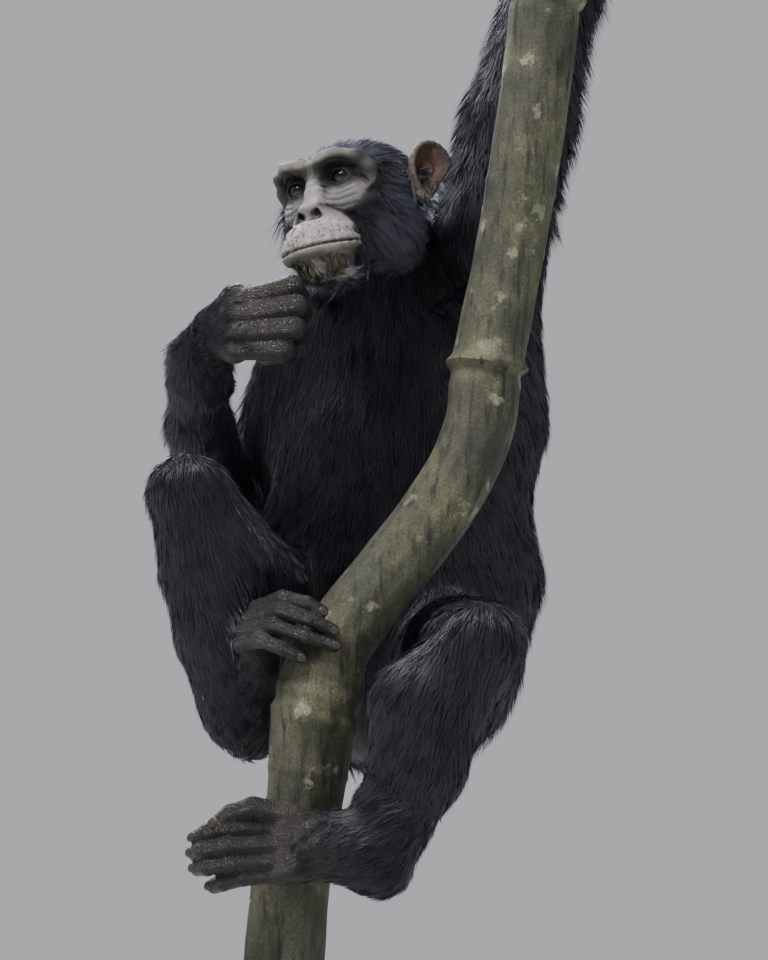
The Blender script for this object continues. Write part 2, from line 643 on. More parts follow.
def flesh(points):
    """Trunk, neck and limbs with the coat's depth taken off."""
    trunk = join_soft(trunk_field(points) + 0.009, neck_field(points) + 0.010, 0.05)
    limbs = []
    for name in LIMBS:
        limbs.append(limb_field(points, name) + coat_depth(points, name))
    return join_soft(trunk, np.minimum.reduce(limbs), 0.016)


def body_skin_field(points):
    return stem_pressed(points, flesh(points))


def head_skin_field(points):
    """Head and upper neck, run into the trunk and closed below by a plane inside it."""
    form = join_soft(head_field(points), neck_field(points) + 0.010, 0.022)
    form = join_soft(form, trunk_field(points) + 0.009, 0.020)
    below = (points - np.array((0.0, -0.01, 0.915), np.float32)) @ np.array((-0.35, -0.55, 0.76), np.float32)
    return np.maximum(form, -below - 0.028)


def grip_skin_field(name):
    _, limb, _ = GRIPS[name]
    _, middle, end = [np.array(place, np.float32) for place in LIMBS[limb]]
    along = (end - middle) / np.linalg.norm(end - middle)

    def field(points):
        shank = limb_field(points, limb) + coat_depth(points, limb) + 0.0010
        form = join_soft(grip_field(points, name), shank, 0.008)
        if name == "foot_right":
            form = grip_field(points, name)
        else:
            form = np.maximum(form, -((points - end) @ along) - 0.045)
        if name == "hand_right":
            form = np.maximum(form, -(head_field(points) - 0.0008))
        return stem_pressed(points, form)

    return field


# %% The skin's meshes
def box_of(places, margin):
    places = np.array([tuple(place) for place in places])
    return places.min(0) - margin, places.max(0) + margin


meshes = {"skin_body": surface_mesh("skin_body", body_skin_field, *BOX_OF_BODY, 0.0045)}
head_low, head_high = (-0.165, -0.215, 0.875), (0.085, 0.070, 1.085)
meshes["skin_head"] = surface_mesh("skin_head", head_skin_field, head_low, head_high, 0.00112)
for name, (shape, limb, _) in GRIPS.items():
    places = [place for place, _ in shape["palm"] + shape["knuckles"]]
    places += [place for digit in shape["digits"] for place in digit] + [LIMBS[limb][2]]
    low, high = box_of(places, 0.042)
    meshes[f"skin_{name}"] = surface_mesh(f"skin_{name}", grip_skin_field(name), low, high, 0.0014)


def fewer(mesh, share):
    """The same surface with fewer triangles, kept where it bends most."""
    carrier = bpy.data.objects.new("carrier", mesh)
    bpy.context.scene.collection.objects.link(carrier)
    carrier.modifiers.new("fewer", "DECIMATE").ratio = share
    reduced = plain_mesh(carrier)
    bpy.data.objects.remove(carrier, do_unlink=True)
    reduced.shade_smooth()
    return reduced


for name, mesh in meshes.items():
    share = {"skin_head": 0.50, "skin_body": 0.75}.get(name, 0.55)
    meshes[name] = fewer(mesh, share)
    print(name, len(meshes[name].polygons), "triangles")

# %% [markdown]
# Skin takes its colour from what lies in it: a pale muzzle, a dark ring round each eye, grey
# brows, pinkish ears and near-black skin under the coat. The colour is worked out for every
# point of the mesh from its place on the head, kept as an attribute, and the shader breaks it
# up with pores and blotches.

# %% Colour of the skin at each point


def points_of(mesh):
    found = np.empty(len(mesh.vertices) * 3, np.float32)
    mesh.vertices.foreach_get("co", found)
    return found.reshape(-1, 3)


def normals_of(mesh):
    found = np.empty(len(mesh.vertices) * 3, np.float32)
    mesh.vertices.foreach_get("normal", found)
    return found.reshape(-1, 3)


def keep_attribute(mesh, name, values, kind):
    layer = mesh.attributes.new(name, kind, "POINT")
    values = np.asarray(values, np.float32)
    layer.data.foreach_set({"FLOAT": "value", "FLOAT_VECTOR": "vector"}[kind], values.ravel())


def mix_in(colour, share, code):
    """Lays a colour over others, by a share for each point."""
    target = np.array(linear(code)[:3], np.float32)
    return colour * (1 - share[:, None]) + target * share[:, None]


def spot(local, centre, radii):
    """1 in the middle of an ellipsoid of the head and 0 outside it."""
    away = np.linalg.norm((local - np.array(centre, np.float32)) / np.array(radii, np.float32), axis=1)
    return 1 - ramp(away, 0.55, 1.0)


def head_colour(points):
    local = to_local(points, HEAD)
    both = local.copy()
    both[:, 0] = np.abs(both[:, 0])
    colour = np.tile(np.array(linear("353232")[:3], np.float32), (len(points), 1))
    colour = mix_in(colour, spot(both, (0.020, 0.092, 0.052), (0.045, 0.030, 0.010)), "6f6a64")
    colour = mix_in(colour, spot(both, (0.032, 0.085, 0.006), (0.028, 0.035, 0.018)), "5f5c5d")
    colour = mix_in(colour, spot(both, (0, 0.112, -0.034), (0.062, 0.060, 0.034)), "8e8b89")
    colour = mix_in(colour, 0.8 * spot(both, (0, 0.115, -0.066), (0.045, 0.060, 0.022)), "47423a")
    colour = mix_in(colour, spot(both, (0, 0.104, 0.008), (0.016, 0.030, 0.030)), "888587")
    colour = mix_in(colour, 0.8 * spot(both, (0.008, 0.114, -0.010), (0.018, 0.016, 0.012)), "55504e")
    colour = mix_in(colour, 0.97 * spot(both, (0.0285, 0.088, 0.0325), (0.0275, 0.033, 0.0215)), "0d0b0b")
    seam = chain(both, [(mouth_line(share), 0.0) for share in np.linspace(0, 1, 9)], 0.0005)
    colour = mix_in(colour, 0.8 * (1 - ramp(seam, 0.0022, 0.0052)) * (both[:, 2] < -0.0475), "8a7468")
    colour = mix_in(colour, 0.9 * (1 - ramp(seam, 0.0010, 0.0024)), "2c211e")
    nostril = cone(both, (0.0072, 0.1165, -0.0110), (0.0128, 0.1140, -0.0125), 0.0044, 0.0038)
    colour = mix_in(colour, 0.9 * (1 - ramp(nostril, 0.0004, 0.0022)), "1c1412")
    colour = mix_in(colour, 1 - bare_face(local), "131111")
    for side in (1, -1):
        near = to_local(local, ear_frame(side))
        near[:, 0] *= side
        leaf = ellipsoid(near, (0.012, -0.014, 0.002), (0.03, 0.029, 0.040)) < 0
        ear = leaf * ramp(near[:, 0], 0.003, 0.009)
        colour = mix_in(colour, ear, "2b2421")
        inner = ear * spot(near, (0.013, -0.010, 0.010), (0.012, 0.021, 0.026))
        colour = mix_in(colour, inner, "432a1e")
        bowl = ear * spot(near, (0.008, -0.003, -0.004), (0.012, 0.013, 0.015))
        colour = mix_in(colour, bowl, "1c1310")
        rim = ear * ramp(np.linalg.norm((near[:, 1:] - (-0.012, 0.004)) / (0.024, 0.029), axis=1), 0.93, 1.03)
        colour = mix_in(colour, 0.8 * rim, "574940")
    return colour


def grip_colour(points, name):
    """Bare skin, worn lighter over each joint and near-black where the coat begins."""
    shape, limb, _ = GRIPS[name]
    at, _ = along_limb(points, limb)
    colour = np.tile(np.array(linear("1f1b1a")[:3], np.float32), (len(points), 1))
    joints = np.ones(len(points), np.float32)
    for digit in shape["digits"]:
        for place in digit[1:]:
            joints = np.minimum(joints, np.linalg.norm(points - np.array(place, np.float32), axis=1))
    colour = mix_in(colour, 0.85 * (1 - ramp(joints, 0.006, 0.017)), "4c433c")
    hand = np.array(shape["palm"][-1][0], np.float32)
    colour = mix_in(colour, ramp(np.linalg.norm(points - hand, axis=1), 0.040, 0.075) * (at > 1.5), "131111")
    return colour


for name, mesh in meshes.items():
    points = points_of(mesh)
    if name == "skin_body":
        colour = np.tile(np.array(linear("1b1817")[:3], np.float32), (len(points), 1))
    elif name == "skin_head":
        colour = head_colour(points)
    else:
        colour = grip_colour(points, name.removeprefix("skin_"))
    keep_attribute(mesh, "tone", colour, "FLOAT_VECTOR")
print("skin coloured:", ", ".join(meshes))

# %% [markdown]
# Living skin is soft and a little waxy: it scatters light under its surface and shines weakly
# where it is oily. The bumps are pores of about 1 mm and crossing wrinkles of about 3 mm, which
# make the leather look of an ape's bare skin.

# %% The skin's finish


def skin_finish(name, roughness, wrinkle_mm, wrinkle_height, pore_height):
    material, tree, shader = new_finish(name)
    tone = add(tree, "ShaderNodeAttribute", attribute_name="tone")
    place = add(tree, "ShaderNodeTexCoord").outputs["Object"]
    blotch = add(tree, "ShaderNodeTexNoise", {"Vector": place, "Scale": 90.0, "Detail": 4.0})
    spread = add(tree, "ShaderNodeMapRange", {
        "Value": blotch.outputs["Fac"], "From Min": 0.3, "From Max": 0.7, "To Min": 0.72, "To Max": 1.22})
    fine = add(tree, "ShaderNodeTexNoise", {"Vector": place, "Scale": 600.0, "Detail": 3.0})
    grit = add(tree, "ShaderNodeMapRange", {"Value": fine.outputs["Fac"], "From Min": 0.3, "From Max": 0.7,
                                            "To Min": 0.85, "To Max": 1.15})
    both = add(tree, "ShaderNodeMath", {0: spread.outputs[0], 1: grit.outputs[0]}, operation="MULTIPLY")
    colour = add(tree, "ShaderNodeVectorMath", {0: tone.outputs["Vector"], "Scale": both.outputs[0]},
                 operation="SCALE")
    tree.links.new(colour.outputs[0], shader.inputs["Base Color"])
    stretched = add(tree, "ShaderNodeMapping", {"Vector": place, "Scale": (1.0, 1.0, 2.4)})
    lines = add(tree, "ShaderNodeTexVoronoi", {"Vector": stretched.outputs[0], "Scale": 1000.0 / wrinkle_mm},
                feature="DISTANCE_TO_EDGE")
    edge = add(tree, "ShaderNodeMapRange", {"Value": lines.outputs["Distance"], "From Min": 0.0,
                                            "From Max": 0.22, "To Min": 0.0, "To Max": 1.0})
    folds = add(tree, "ShaderNodeBump", {
        "Height": edge.outputs[0], "Strength": 0.55, "Distance": wrinkle_height})
    pores = add(tree, "ShaderNodeBump", {"Height": fine.outputs["Fac"], "Strength": 0.5,
                                         "Distance": pore_height, "Normal": folds.outputs[0]})
    tree.links.new(pores.outputs[0], shader.inputs["Normal"])
    shader.inputs["Roughness"].default_value = roughness
    shader.inputs["Subsurface Weight"].default_value = 0.05
    shader.inputs["Subsurface Radius"].default_value = (0.6, 0.45, 0.4)
    shader.inputs["Subsurface Scale"].default_value = 0.004
    shader.inputs["IOR"].default_value = 1.42
    return material


# Grey leather with a soft shine on brow, nose and lip, and fine crossing lines.
face_skin = skin_finish("bare_face_skin", 0.50, 2.6, 0.0009, 0.0004)
# Thicker, nearly black leather, a little glossy where it is worn over the joints.
hand_skin = skin_finish("bare_hand_skin", 0.46, 3.2, 0.0014, 0.0004)
# Dull dark skin that only closes the gaps between the hairs.
under_skin = skin_finish("skin_under_the_coat", 0.70, 6.0, 0.0005, 0.0003)

# %% The skin's pieces
BODY_NODES = ["torso", "neck"] + [f"{part}_{side}" for part in ("upper_arm", "forearm", "thigh", "shin")
                                  for side in ("left", "right")]
skins = {
    "skin_body": new_piece("skin_body", meshes["skin_body"], under_skin, BODY_NODES),
    "skin_head": new_piece("skin_head", meshes["skin_head"], face_skin, ["head", "ear_left", "ear_right"]),
}
for name in GRIPS:
    skins[f"skin_{name}"] = new_piece(f"skin_{name}", meshes[f"skin_{name}"], hand_skin, [name])

# %% [markdown]
# An ape's eye shows a dark brown iris, a dark ring of white around it and a wet clear front.
# A ball carries the colours by its distance from the line of sight, and a low bulge over the
# iris catches the light. The gaze runs a little past the viewer.

# %% Eyes
GAZE = (HEAD.to_3x3() @ Vector((-0.20, 1.0, 0.02))).normalized()


def eye_finish(name, centre):
    """A wet dark eye: sharp small highlights over a brown ring and a black pupil."""
    material, tree, shader = new_finish(name)
    place = add(tree, "ShaderNodeTexCoord").outputs["Object"]
    out = add(tree, "ShaderNodeVectorMath", {0: place, 1: tuple(centre)}, operation="SUBTRACT")
    along = add(tree, "ShaderNodeVectorMath", {0: out.outputs[0], 1: tuple(GAZE)}, operation="DOT_PRODUCT")
    length = add(tree, "ShaderNodeVectorMath", {0: out.outputs[0]}, operation="LENGTH")
    cosine = add(tree, "ShaderNodeMath", {0: along.outputs["Value"], 1: length.outputs["Value"]},
                 operation="DIVIDE")
    ring = add(tree, "ShaderNodeMapRange", {"Value": cosine.outputs[0], "From Min": 0.80, "From Max": 1.0})
    ramp_node = add(tree, "ShaderNodeValToRGB", {"Fac": ring.outputs[0]})
    stops = ramp_node.color_ramp.elements
    stops[0].position, stops[0].color = 0.0, linear("231a16")
    stops[1].position, stops[1].color = 0.10, linear("1a120e")
    for position, code in ((0.16, "0d0705"), (0.26, "160c06"), (0.55, "20130a"), (0.76, "110804"),
                           (0.84, "050303"), (1.0, "030202")):
        stop = stops.new(position)
        stop.color = linear(code)
    tree.links.new(ramp_node.outputs["Color"], shader.inputs["Base Color"])
    shader.inputs["Roughness"].default_value = 0.05
    shader.inputs["Coat Weight"].default_value = 0.3
    shader.inputs["Coat Roughness"].default_value = 0.02
    shader.inputs["IOR"].default_value = 1.38
    return material


for name, side in (("eye_right", 1), ("eye_left", -1)):
    centre = HEAD @ Vector((side * EYE_PLACE[0], EYE_PLACE[1], EYE_PLACE[2]))
    shape = bmesh.new()
    bmesh.ops.create_uvsphere(shape, u_segments=64, v_segments=64, radius=1.0)
    shape.transform(GAZE.to_track_quat("Z", "Y").to_matrix().to_4x4())
    ball, front = EYE_RADIUS - 0.0004, 0.62 * EYE_RADIUS
    ahead = ball + 0.0006 - front
    for vertex in shape.verts:
        cosine = vertex.co.normalized().dot(GAZE)
        under = front**2 - ahead**2 * (1 - cosine**2)
        reach = ahead * cosine + math.sqrt(under) if under > 0 and cosine > 0 else 0
        vertex.co = centre + vertex.co.normalized() * max(ball, reach)
    mesh = bpy.data.meshes.new(f"eyeball_{name}")
    shape.to_mesh(mesh)
    shape.free()
    mesh.shade_smooth()
    new_piece(f"eyeball_{name}", mesh, eye_finish(f"wet_{name}", centre), [name])
print("eyes of", 2 * EYE_RADIUS * 1000, "mm")

# %% [markdown]
# A digit ends in a flat dark nail, a curved plate that sits in the upper side of its tip. Each
# is a thin lens laid along the last joint. The fist hides its finger nails, so only its thumb
# has one to show.

# %% Nails
# Dark horn with faint ridges and a dull polish from use.
nail_finish, tree, shader = new_finish("dark_horn_nail")
place = add(tree, "ShaderNodeTexCoord").outputs["Object"]
ridges = add(tree, "ShaderNodeTexNoise", {"Vector": place, "Scale": 700.0, "Detail": 2.0})
shift = add(tree, "ShaderNodeValToRGB", {"Fac": ridges.outputs["Fac"]})
shift.color_ramp.elements[0].color = linear("1d1715")
shift.color_ramp.elements[1].color = linear("43372f")
tree.links.new(shift.outputs["Color"], shader.inputs["Base Color"])
shader.inputs["Roughness"].default_value = 0.45
shader.inputs["Specular IOR Level"].default_value = 0.3


def away_from_stem(place):
    """The direction from the stem's middle line out to a place."""
    points = [np.array(spot, float) for spot, _ in STEM_PATH]
    best, found = 1.0, None
    for start, end in zip(points, points[1:]):
        axis = end - start
        share = min(1.0, max(0.0, float((place - start) @ axis / (axis @ axis))))
        offset = place - start - share * axis
        if np.linalg.norm(offset) < best:
            best, found = np.linalg.norm(offset), offset
    return Vector(found).normalized()


def nail(shape, digit, radius, outward):
    tip, before = Vector(digit[-1]), Vector(digit[-2])
    along = (tip - before).normalized()
    outward = (outward - along * outward.dot(along)).normalized()
    side = along.cross(outward)
    made = bmesh.ops.create_uvsphere(shape, u_segments=20, v_segments=12, radius=1.0)
    size = Matrix.Diagonal((radius * 0.60, radius * 0.78, radius * 0.24, 1.0))
    turn = Matrix((side, along, outward)).transposed().to_4x4()
    place = tip + outward * radius * 0.84 + along * radius * 0.22
    bmesh.ops.transform(shape, matrix=Matrix.Translation(place) @ turn @ size, verts=made["verts"])


for name, (form, _, _) in GRIPS.items():
    shape = bmesh.new()
    digits = form["digits"][4:] if name == "hand_right" else form["digits"]
    for digit in digits:
        outward = Vector((-0.2, -0.7, 0.7)) if name == "hand_right" else away_from_stem(np.array(digit[-1]))
        nail(shape, digit, form["radii"][-1] * (1.12 if len(digit) != 4 else 1.0), outward)
    mesh = bpy.data.meshes.new(f"nails_{name}")
    shape.to_mesh(mesh)
    shape.free()
    mesh.shade_smooth()
    new_piece(f"nails_{name}", mesh, nail_finish, ())
print("nails on", len(GRIPS), "hands and feet")

# %% [markdown]
# Hair is what makes the animal, and it grows along a lie: down the back and belly, back over
# the crown, out over the cheeks and towards the elbow on the forearm. For every point of the
# skin a few numbers say how hair grows there: the lie, the length, how far the tips stand off,
# how thick it grows, its colour, and the place on an unwrapped skin.

# %% How the coat grows
DOWN = np.array((0.0, 0.0, -1.0), np.float32)
BLACK, PALE_BEARD = "131317", "8f8876"


def unit(vectors):
    return vectors / np.maximum(np.linalg.norm(vectors, axis=1), 1e-6)[:, None]


def around_limb(points, name):
    """The angle of each point round a limb's axis, and how far along it lies."""
    at, _ = along_limb(points, name)
    root, middle, end = [np.array(place, np.float32) for place in LIMBS[name]]
    upper = at < 1
    axis = np.where(upper[:, None], middle - root, end - middle)
    origin = np.where(upper[:, None], root, middle)
    offset = points - origin
    first = unit(np.cross(axis, np.array((0.31, 0.87, 0.38), np.float32)))
    second = unit(np.cross(axis, first))
    angle = np.arctan2((offset * first).sum(1), (offset * second).sum(1))
    return angle / (2 * math.pi) + 0.5, at


def grow(points, lie, length, rise, cover, tint, unwrap, free=0.0):
    return {"lie": lie, "length": length, "rise": rise, "cover": cover, "tint": tint, "unwrap": unwrap,
            "free": np.zeros(len(points), np.float32) + free}


def tint_of(code, count):
    return np.tile(np.array(linear(code)[:3], np.float32), (count, 1))


def both_sides(local):
    return np.stack([np.abs(local[:, 0]), local[:, 1], local[:, 2]], 1)


def trunk_coat(points, normals):
    lie = np.tile(DOWN, (len(points), 1))
    side = points[:, 0] - 0.02
    lie[:, 0] += np.clip(side * 3.0, -0.5, 0.5) * (normals[:, 1] < 0.3)
    lie[:, 1] += 0.25 * ramp(normals[:, 1], -0.2, 0.6)
    back = ramp(points[:, 1], 0.02, 0.12)
    high = ramp(points[:, 2], 0.70, 0.88)
    length = 0.036 + 0.020 * back + 0.010 * high
    rise = 0.15 + 0.08 * back
    cover = np.ones(len(points), np.float32)
    angle = np.arctan2(side, points[:, 1] - 0.06) / (2 * math.pi) + 0.5
    unwrap = np.stack([angle, (points[:, 2] - 0.38) / 0.62], 1)
    neck = 1 - ramp(np.linalg.norm(points - np.array((0.060, 0.010, 0.985), np.float32), axis=1), 0.03, 0.08)
    length, rise = length + 0.020 * neck, rise + 0.45 * neck
    return grow(points, lie, length, rise, cover, tint_of(BLACK, len(points)), unwrap, 0.25 + 0.2 * back)


def limb_coat(points, normals, name):
    angle, at = around_limb(points, name)
    root, middle, end = [np.array(place, np.float32) for place in LIMBS[name]]
    upper_axis = (middle - root) / np.linalg.norm(middle - root)
    lower_axis = (end - middle) / np.linalg.norm(end - middle)
    share = ramp(at, 0.9, 1.1)[:, None]
    if name == "arm_left":
        lie = np.tile(DOWN, (len(points), 1)) + 0.10 * upper_axis
    elif name == "arm_right":
        lie = (1 - share) * (upper_axis + 0.3 * DOWN) + share * (-0.8 * lower_axis + 0.4 * DOWN)
    else:
        lie = (1 - share) * (0.25 * upper_axis + DOWN) + share * (lower_axis + 0.2 * DOWN)
    arm = name.startswith("arm")
    length = (0.046 if arm else 0.040) - 0.016 * ramp(at, 1.3, 2.0)
    rise = np.full(len(points), 0.22 if arm else 0.13, np.float32)
    if name == "arm_left":
        rise = rise + 0.14 * ramp(normals[:, 0], 0.2, 0.9)
    cover = np.ones(len(points), np.float32)
    free = 0.45 if arm else 0.15
    unwrap = np.stack([angle, at / 2], 1)
    return grow(points, lie, length, rise, cover, tint_of(BLACK, len(points)), unwrap, free)


def head_coat(points):
    local = to_local(points, HEAD)
    turn = np.array(HEAD.to_3x3(), np.float32)
    side = np.sign(local[:, 0])
    across = np.abs(local[:, 0])
    depth = ramp(-hairline(local), 0.003, 0.038)
    crown = ramp(local[:, 2], 0.034, 0.056)
    nape = ramp(-local[:, 1], 0.020, 0.060) * (1 - crown)
    chin = ramp(-local[:, 2], 0.050, 0.068) * ramp(local[:, 1], 0.040, 0.065)
    cheek = (1 - crown) * (1 - nape) * (1 - chin)
    lie = np.zeros_like(local)
    lie += crown[:, None] * np.stack([0.10 * side, np.full(len(side), -1.0), np.full(len(side), 0.10)], 1)
    lie += nape[:, None] * np.array((0, -0.3, -1.0), np.float32)
    lie += chin[:, None] * np.array((0, 0.05, -1.0), np.float32)
    lie += cheek[:, None] * np.stack([0.45 * side, np.full(len(side), -0.45), np.full(len(side), -0.85)], 1)
    before_ear = spot(both_sides(local), (0.062, 0.022, 0.004), (0.030, 0.030, 0.046)) * cheek
    lie += before_ear[:, None] * np.array((0, -0.9, 0.45), np.float32)
    length = (crown * (0.011 + 0.015 * depth) + cheek * (0.009 + 0.028 * depth) + nape * 0.050
              + chin * (0.026 + 0.028 * ramp(-local[:, 2], 0.060, 0.078)))
    shallow = 1 - depth
    rise = crown * (0.17 + 0.30 * shallow) + cheek * (0.22 + 0.12 * shallow) + nape * 0.30 + chin * 0.30
    ruff = spot(local, (0.056, 0.052, -0.014), (0.036, 0.044, 0.058)) * cheek
    length, rise = length + 0.016 * ruff, rise + 0.58 * ruff
    lie += ruff[:, None] * np.array((0.9, 0.2, -0.6), np.float32)
    bare = bare_face(local)
    ears = ramp(across, 0.060, 0.066) * bare
    cover = 1.0 - bare
    chance = np.random.default_rng(7).uniform(0, 1, len(local)).astype(np.float32)
    beard = spot(local, (0, 0.100, -0.070), (0.050, 0.050, 0.024)) * bare
    lip = spot(local, (0, 0.115, -0.036), (0.056, 0.050, 0.022)) * bare * (1 - beard)
    face = np.maximum(0.85 * beard, 0.22 * lip) * (1 - ears)
    short = np.where(beard > lip, 0.009 + 0.026 * ramp(-local[:, 2], 0.060, 0.080), 0.0045)
    inner = bare > 0.5
    length = np.where(inner, short, length)
    rise = np.where(inner, 0.30, rise)
    free = 0.55 * cheek * depth + 0.45 * nape + 0.9 * chin
    tint = tint_of(BLACK, len(points))
    upper = ramp(local[:, 2], -0.070, -0.020)
    tint = mix_in(tint, 0.62 * np.clip(crown + cheek * depth, 0, 1) * upper, "50515d")
    pale = np.clip(np.maximum(1.6 * beard, 1.2 * lip), 0, 1) * (chance > 0.38)
    tint = mix_in(tint, 0.7 * pale, PALE_BEARD)
    over_lips = np.stack([0.3 * side, np.full(len(side), 0.1), np.full(len(side), -1.0)], 1)
    lie = np.where(inner[:, None], over_lips, lie)
    angle = np.arctan2(local[:, 0], local[:, 1]) / (2 * math.pi) + 0.5
    unwrap = np.stack([angle, (local[:, 2] + 0.09) / 0.18], 1)
    turned = lie @ turn.T
    return (grow(points, turned, length, rise, cover * (1 - ears), tint, unwrap, free),
            grow(points, turned, length, rise, face * bare, tint, unwrap, 0.7 * beard))


def grip_coat(points, normals, name):
    """Thick hair at wrist and ankle, thinner towards the knuckles, none on digits and palm."""
    shape, limb, _ = GRIPS[name]
    angle, _ = around_limb(points, limb)
    start = np.array(LIMBS[limb][2], np.float32)
    finish = np.array(shape["palm"][-1][0], np.float32)
    axis = (finish - start) / np.linalg.norm(finish - start)
    along = (points - start) @ axis / np.linalg.norm(finish - start)
    if name == "hand_right":
        outer = ramp(-normals[:, 1] + normals[:, 2], -0.3, 0.5)
    else:
        outer = ramp(stem_field(points), 0.010, 0.030)
    near = 1 - ramp(along, -0.35, 0.25)
    cover = np.maximum(near, (1 - 0.45 * ramp(along, 0.2, 1.0)) * (1 - ramp(along, 0.95, 1.45)) * outer)
    reach = np.ones(len(points), np.float32)
    for digit in shape["digits"]:
        reach = np.minimum(reach, chain(points, [(spot, 0.011) for spot in digit], 0.001))
    cover = cover * ramp(reach, -0.003, 0.008)
    lie = np.tile(axis, (len(points), 1)) + 0.3 * DOWN
    length = 0.032 - 0.016 * ramp(along, -0.4, 0.9)
    rise = np.full(len(points), 0.16, np.float32)
    return grow(points, lie, length, rise, cover, tint_of(BLACK, len(points)), np.stack([angle, along], 1))


# %% [markdown]
# One tuft is five thin blades that share a root and bend apart, each three long triangles that
# narrow to a point. A Geometry Nodes tree scatters tufts on the skin, turns each along the lie,
# and then lays every point of it back over the nearest skin, lifted more towards the tip. So
# hair lies along the body however the skin curves, and runs on across wrist and ankle. Beard,
# ruff and the long hair of the arms keep a share of their free hang, so their tips stray.

# %% Tufts
BLADES, STEPS = 5, 2
TUFT_SHAPES = 5


def tuft_mesh(number):
    """Blades 1 long and about 6 mm wide in all, to be scaled where they grow."""
    source = np.random.default_rng(40 + number)
    points, faces, along, across = [], [], [], []
    for blade in range(BLADES):
        start = (blade - 2) * 0.0012 + source.normal(0, 0.0003)
        lean, bow = source.normal(0, 0.0022), source.normal(0, 0.0028)
        reach, back = source.uniform(0.66, 1.0), source.uniform(-0.16, 0.10)
        half = 0.00058 * source.uniform(0.7, 1.25)
        first = len(points)
        for step in range(STEPS + 1):
            share = step / STEPS
            middle = start + lean * share + bow * share * share
            width = half * (1 - 0.45 * share)
            for sign in ((-1, 1) if step < STEPS else (0,)):
                points.append((middle + sign * width, back + share * reach, 0.0))
                along.append(share)
                across.append(sign * 1.0)
        for step in range(STEPS - 1):
            low = first + 2 * step
            faces.append((low, low + 1, low + 3, low + 2))
        low = first + 2 * (STEPS - 1)
        faces.append((low, low + 1, low + 2))
    mesh = bpy.data.meshes.new(f"tuft_{number}")
    mesh.from_pydata(points, [], faces)
    keep_attribute(mesh, "along", along, "FLOAT")
    keep_attribute(mesh, "across", across, "FLOAT")
    return mesh


tufts = bpy.data.collections.new("tuft_shapes")
for number in range(TUFT_SHAPES):
    tufts.objects.link(bpy.data.objects.new(f"tuft_{number}", tuft_mesh(number)))
TUFT_TRIANGLES = BLADES * (2 * STEPS - 1)
print("a tuft has", TUFT_TRIANGLES, "triangles")

# %% The tree that grows the coat


def named(tree, name, kind="FLOAT"):
    return add(tree, "GeometryNodeInputNamedAttribute", {"Name": name}, data_type=kind).outputs[0]


def math_of(tree, operation, first, second=0.0):
    return add(tree, "ShaderNodeMath", {0: first, 1: second}, operation=operation).outputs[0]


def vector_of(tree, operation, first, second=(0, 0, 0)):
    return add(tree, "ShaderNodeVectorMath", {0: first, 1: second}, operation=operation).outputs[0]


def scaled(tree, vector, by):
    return add(tree, "ShaderNodeVectorMath", {0: vector, "Scale": by}, operation="SCALE").outputs[0]


def random_of(tree, low, high, seed):
    node = add(tree, "FunctionNodeRandomValue", {2: low, 3: high, 8: seed}, data_type="FLOAT")
    return node.outputs[1]


def store(tree, geometry, name, value, kind="FLOAT", domain="POINT"):
    node = add(tree, "GeometryNodeStoreNamedAttribute", {"Geometry": geometry, "Name": name, "Value": value},
               data_type=kind, domain=domain)
    return node.outputs[0]


